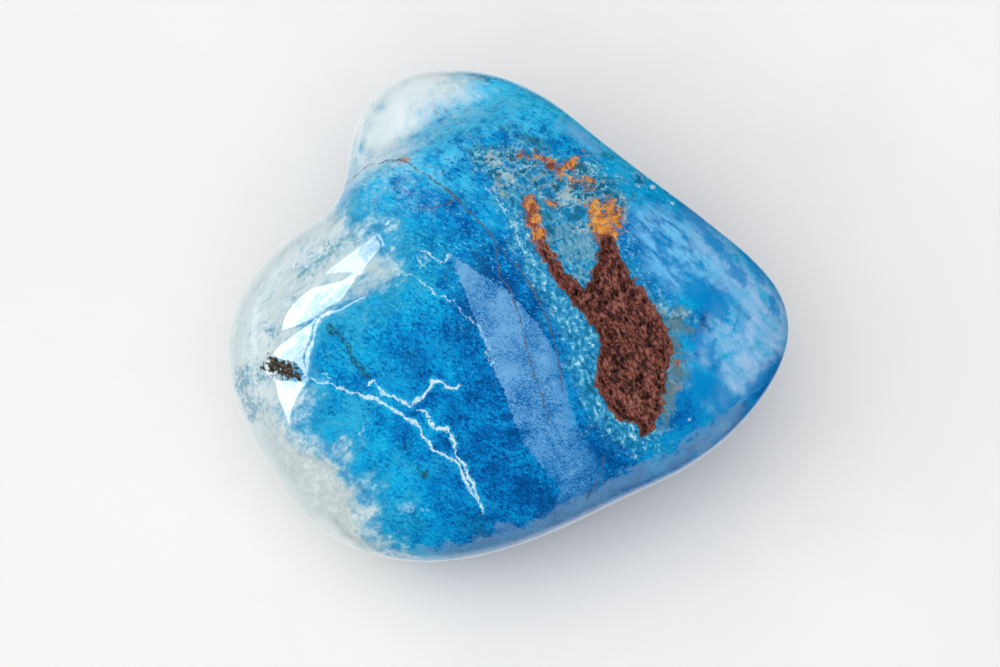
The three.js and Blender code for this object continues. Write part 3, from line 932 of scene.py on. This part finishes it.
rough = larger(patchMask, pitMask)
polish = stoneFinish["polish"]
roughness = larger(
    between(rough, 0, 1, polish, stoneFinish["patchRoughness"], "LINEAR"),
    between(quartzIn, *stoneFinish["coveredFrom"], polish, stoneFinish["coveredRoughness"],
            "LINEAR"),
)
bump = newNode("ShaderNodeBump", {
    "Strength": stoneFinish["bumpStrength"], "Distance": stoneFinish["bumpDistance"],
    "Height": times(noiseValue(place, 8.0, 5, 0.7), rough),
}).outputs[0]
surface = newNode("ShaderNodeBsdfPrincipled", {
    "Base Color": colour, "Roughness": roughness, "IOR": stoneFinish["ior"], "Normal": bump,
}).outputs[0]
newNode("ShaderNodeOutputMaterial", {"Surface": surface})


def insetTowardsSeat(x, y, depth, amount):  # moves points in, square to the surface of a plain dome
    inner = np.stack((x, y, depth + stoneForm["bodyDepth"] / 2), axis=1)
    inward = inner / np.linalg.norm(inner, axis=1)[:, None]
    return x - inward[:, 0] * amount, y - inward[:, 1] * amount, depth - inward[:, 2] * amount


def finishPiece(name, bm, places, material):
    seated = places + stoneShift
    seated[:, 2] = np.maximum(seated[:, 2], 0)
    for vert, spot in zip(bm.verts, seated * mm):
        vert.co = spot
    bmesh.ops.recalc_face_normals(bm, faces=bm.faces)
    for face in bm.faces:
        face.smooth = True
    mesh = bpy.data.meshes.new(name)
    bm.to_mesh(mesh)
    bm.free()
    mesh.materials.append(material)
    piece = newObject(name, mesh)
    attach(piece, "root")
    return piece


# Where the ball is split finer: beside each marking with a crisp edge, distances in millimetres.
def nearMarks(x, y):
    near = insideOutline(x, y, markings["patch"]) > -0.35
    for name in ("whiteVein", "paleVein", "brownVein"):
        for vein in markings[name]:
            near |= np.abs(besideVein(x, y, vein)[0]) < 0.35
    for name in ("ring", "ink", "cream", "pale", "dot", "ochre", "pit"):
        near |= np.abs(insideStrokes(x, y, strokes[name])) < 0.14
    return near


def nearPatch(x, y):
    return insideOutline(x, y, markings["patch"]) > -0.15


def nearPit(x, y):
    return np.abs(insideStrokes(x, y, strokes["pit"])) < 0.5


def patchRelief(x, y, depth, inward):  # how far the patch's rough floor lies below the polish
    turn = math.radians(stoneFinish["flow"][0])
    alongFlow = x * math.cos(turn) + y * math.sin(turn)
    acrossFlow = y * math.cos(turn) - x * math.sin(turn)
    lumps = grainAt(x, y, depth, 1.2, 4) + 0.5 * grainAt(x, y, depth, 3.4, 4, 7.0)
    pits = smooth(0.05, 0.5, grainAt(alongFlow * 0.65, acrossFlow, depth, 4.6, 4, 19.0))
    pits *= smooth(-0.35, 0.3, grainAt(x, y, depth, 1.7, 2, 3.0))
    fall = stoneForm["patchDepth"] - stoneForm["patchGrain"] * lumps + stoneForm["patchPits"] * pits
    return smooth(0, stoneForm["patchWall"], inward) * fall


bm = newBall(stoneForm["meshSteps"])
for near in (nearMarks, nearPatch, nearPit):
    splitNear(bm, near)
x, y, depth, rise = stoneSurface(directionsOf(bm))
top = rise > 0
patchDistance = np.where(top, insideOutline(x, y, markings["patch"]), -farAway)
inPatch = patchDistance > 0
relief = np.zeros(len(x))
relief[inPatch] = patchRelief(x[inPatch], y[inPatch], depth[inPatch], patchDistance[inPatch])
depth -= relief
quartzDistance = insideQuartz(x, y, depth)
pitDistance = np.where(top, insideStrokes(x, y, strokes["pit"]), -farAway)
clearFrom = stoneForm["clearFrom"]
inset = smooth(clearFrom, stoneForm["clearTo"], quartzDistance)**stoneForm["clearPower"]
inset *= stoneForm["clearDepth"]
inset += stoneForm["clearStep"] * smooth(clearFrom, stoneForm["clearStepTo"], quartzDistance)
inset *= smooth(-0.1, -0.5, pitDistance)    # the dark pit lies at the surface, not under it
x, y, depth = insetTowardsSeat(x, y, depth, inset)
belowEdge = stoneForm["marksFade"] * smooth(0.0, -0.8, rise)

# What the stone's material reads at each point.
fields = {"patch": patchDistance, "quartz": quartzDistance}
for name in ("breccia", "halo", "silk", "silkBack", "upper", "lobePale", "sage", "tipReflectionHaze",
             "tipReflectionPale"):
    fields[name] = insideOutline(x, y, markings[name]) - belowEdge
for name in ("silkSide", "reflectedRimLine"):
    fields[name] = besideVein(x, y, markings[name])[0]
fields["relief"], fields["rise"] = relief, rise
for name, marks in strokes.items():
    fields[name] = insideStrokes(x, y, marks) - belowEdge
for name in ("whiteVein", "paleVein", "brownVein", "oliveVein"):
    for index, vein in enumerate(markings[name]):
        offset, fade = besideVein(x, y, vein)
        fields[f"{name}{index}"] = offset
        fields[f"{name}{index}Fade"] = fade * smooth(-0.35, -0.05, rise)

stone = finishPiece("stoneBody", bm, toPart(x, y, depth), stoneMaterial)
for name, values in fields.items():
    layer = stone.data.attributes.new(name, "FLOAT", "POINT")
    layer.data.foreach_set("value", values.astype(np.float32))
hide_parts("stone")
print("stone body:", len(stone.data.polygons), "faces")


clearQuartz = {
    "ior": 1.54,
    "roughness": 0.02,
    "tint": (0.74, 0.88, 0.91),
    "density": 60,
    "shadowTint": (0.93, 0.97, 0.96),
    "tuck": 0.05,             # how far it dips under the blue stone where they meet
    "deepTuck": 1.2,          # and well away from there
    "pitTuck": 0.12,
    "cutAt": -2.5,            # hidden inside the stone, right of this the quartz is cut away
}

quartzMaterial = bpy.data.materials.new("clearQuartz")
tree = newTree(quartzMaterial)
glass = newNode("ShaderNodeBsdfPrincipled", {
    "Base Color": (1, 1, 1, 1), "Roughness": clearQuartz["roughness"], "IOR": clearQuartz["ior"],
    "Transmission Weight": 1.0,
}).outputs[0]
passing = newNode("ShaderNodeBsdfTransparent", {
    "Color": (*clearQuartz["shadowTint"], 1),
}).outputs[0]
isShadow = newNode("ShaderNodeLightPath").outputs["Is Shadow Ray"]
glassOrShadow = newNode("ShaderNodeMixShader", {0: isShadow, 1: glass, 2: passing}).outputs[0]
absorb = newNode("ShaderNodeVolumeAbsorption", {
    "Color": (*clearQuartz["tint"], 1), "Density": clearQuartz["density"],
}).outputs[0]
newNode("ShaderNodeOutputMaterial", {"Surface": glassOrShadow, "Volume": absorb})

bm = newBall(stoneForm["meshSteps"])
splitNear(bm, nearPit)
splitNear(bm, nearPit)
x, y, depth, rise = stoneSurface(directionsOf(bm))
quartzDistance = insideQuartz(x, y, depth)
pitDistance = np.where(rise > 0, insideStrokes(x, y, strokes["pit"]), -farAway)
tuck = clearQuartz["tuck"] * smooth(0.30, -0.30, quartzDistance)
tuck += clearQuartz["deepTuck"] * smooth(-0.6, -4.5, quartzDistance)
tuck = np.maximum(tuck, clearQuartz["pitTuck"] * smooth(-0.08, 0.25, pitDistance))
x, y, depth = insetTowardsSeat(x, y, depth, tuck)
quartz = finishPiece("clearQuartz", bm, toPart(x, y, depth), quartzMaterial)
bm = bmesh.new()
bm.from_mesh(quartz.data)
cut = bmesh.ops.bisect_plane(
    bm, geom=bm.verts[:] + bm.edges[:] + bm.faces[:], dist=1e-7,
    plane_co=(clearQuartz["cutAt"] * mm, 0, 0), plane_no=(1, 0, 0), clear_outer=True)
rim = [item for item in cut["geom_cut"] if isinstance(item, bmesh.types.BMEdge)]
bmesh.ops.triangle_fill(bm, edges=rim, use_beauty=True)
bmesh.ops.recalc_face_normals(bm, faces=bm.faces)
bm.to_mesh(quartz.data)
bm.free()
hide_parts("stone")
print("clear quartz:", len(quartz.data.polygons), "faces")


studio = {
    "floorSize": 3.0,
    "floorColour": (0.86, 0.86, 0.855),
    "floorMottle": 0.97,              # how dark its faint clouds are beside that
    "floorRoughness": 0.7,
    "skyPale": (0.93, 0.93, 0.925),
    "roomLight": (1.74, 1.72, 1.70),
    "roomDim": (0.42, 0.415, 0.41),
    "lightFrom": (-0.2, 0.16, 1.0),   # the soft light is strongest from here
    "roomBright": (0.95, 0.95, 0.95),
    "roomDark": (0.02, 0.022, 0.025),
    "darkTowards": (0.25, 0.15, 1.0),  # the part of the room that the broad face mirrors
    "keyFrom": (-0.75, 0.15, 0.65),
    "keyBright": 0.5,
    "keyColour": (0.92, 1.0, 1.07),
    "keySize": 0.28,
    "lightDistance": 0.42,
    "windowBright": 8,
    # the panes of a tall window on the left: the middle up and out, the way it runs, the way it
    # shines, the size for a distance of 1, and how bright it is beside the others
    "panes": {
        "paneTop": ((0.46, 1.54), (-0.10, -0.21, 0.97), (0.97, -0.22, 0.05), (0.73, 0.61), 0.7),
        "paneUpper": ((0.05, 1.20), (-0.32, 0.02, 0.95), (0.42, -0.89, 0.16), (1.12, 0.26), 1.0),
        "paneLower": ((-0.25, 0.83), (-0.35, 0.08, 0.93), (0.86, -0.37, 0.35), (0.85, 0.44), 1.0),
        "sideStrip": ((0.05, 0.17), (0, 0.85, -0.5), (1, 0, 0), (0.55, 0.10), 0.12),
    },
}

floorMaterial = bpy.data.materials.new("paleFloor")
tree = newTree(floorMaterial)
floorPlace = newNode("ShaderNodeTexCoord").outputs["Object"]
cloud = between(noiseValue(floorPlace, 60, 4, 0.6, 0.4), 0.35, 0.65)
mottle = tuple(part * studio["floorMottle"] for part in studio["floorColour"])
floorSurface = newNode("ShaderNodeBsdfPrincipled", {
    "Base Color": mixed(cloud, studio["floorColour"], mottle),
    "Roughness": studio["floorRoughness"],
}).outputs[0]
newNode("ShaderNodeOutputMaterial", {"Surface": floorSurface})

bm = bmesh.new()
bmesh.ops.create_grid(bm, x_segments=4, y_segments=4, size=studio["floorSize"] / 2)
floorMesh = bpy.data.meshes.new("floor")
bm.to_mesh(floorMesh)
bm.free()
floorMesh.materials.append(floorMaterial)
floor = newObject("floor", floorMesh)
floor.visible_glossy = False


def panelLight(name, centre, across, out, size, radiance):
    # a flat panel: its middle, the way its width runs and the way it shines, as the face lies
    data = bpy.data.lights.new(name, "AREA")
    data.shape = "RECTANGLE"
    data.size, data.size_y = size
    data.energy = radiance * 4 * size[0] * size[1]
    light = newObject(name, data)
    back = -facePoint(*out).normalized()
    side = facePoint(*across).normalized()
    light.rotation_euler = Matrix((side, back.cross(side), back)).transposed().to_euler()
    light.location = placeOnFace(0, 0, 0) + facePoint(*centre) * studio["lightDistance"]
    light.visible_camera = False
    return light


# A soft key from the upper left makes the shadow; its own reflection is kept off the polish.
keyShine = [-part for part in studio["keyFrom"]]
keySize = [studio["keySize"]] * 2
key = panelLight("softKey", studio["keyFrom"], (1, 1, 0), keyShine, keySize, studio["keyBright"])
key.data.color = studio["keyColour"]
key.visible_glossy = False

for name, (upAndOut, along, shine, size, share) in studio["panes"].items():
    paneSize = [studio["lightDistance"] * length for length in size]
    pane = panelLight(name, (-1, *upAndOut), along, shine, paneSize, share * studio["windowBright"])
    pane.visible_diffuse = False

scene = bpy.context.scene
scene.view_settings.view_transform = "Standard"
world = bpy.data.worlds.new("paleRoom")
scene.world = world
tree = newTree(world)
direction = newNode("ShaderNodeTexCoord").outputs["Generated"]


def towards(way):  # 1 straight towards it, -1 straight away
    way = facePoint(*way).normalized()
    node = newNode("ShaderNodeVectorMath", {0: direction, 1: way}, operation="DOT_PRODUCT")
    return node.outputs["Value"]


seen = newNode("ShaderNodeLightPath").outputs
mirrored = mixed(between(towards(studio["darkTowards"]), -0.82, -0.50),
                 studio["roomBright"], studio["roomDark"])
ambient = mixed(between(towards(studio["lightFrom"]), 0.4, 1.0),
                studio["roomDim"], studio["roomLight"])
onlyGlossy = math2("SUBTRACT", seen["Is Glossy Ray"], seen["Is Transmission Ray"], clamp=True)
room = mixed(onlyGlossy, ambient, mirrored)
room = mixed(seen["Is Camera Ray"], room, studio["skyPale"])
background = newNode("ShaderNodeBackground", {"Color": room}).outputs[0]
newNode("ShaderNodeOutputWorld", {"Surface": background})
print("studio set")
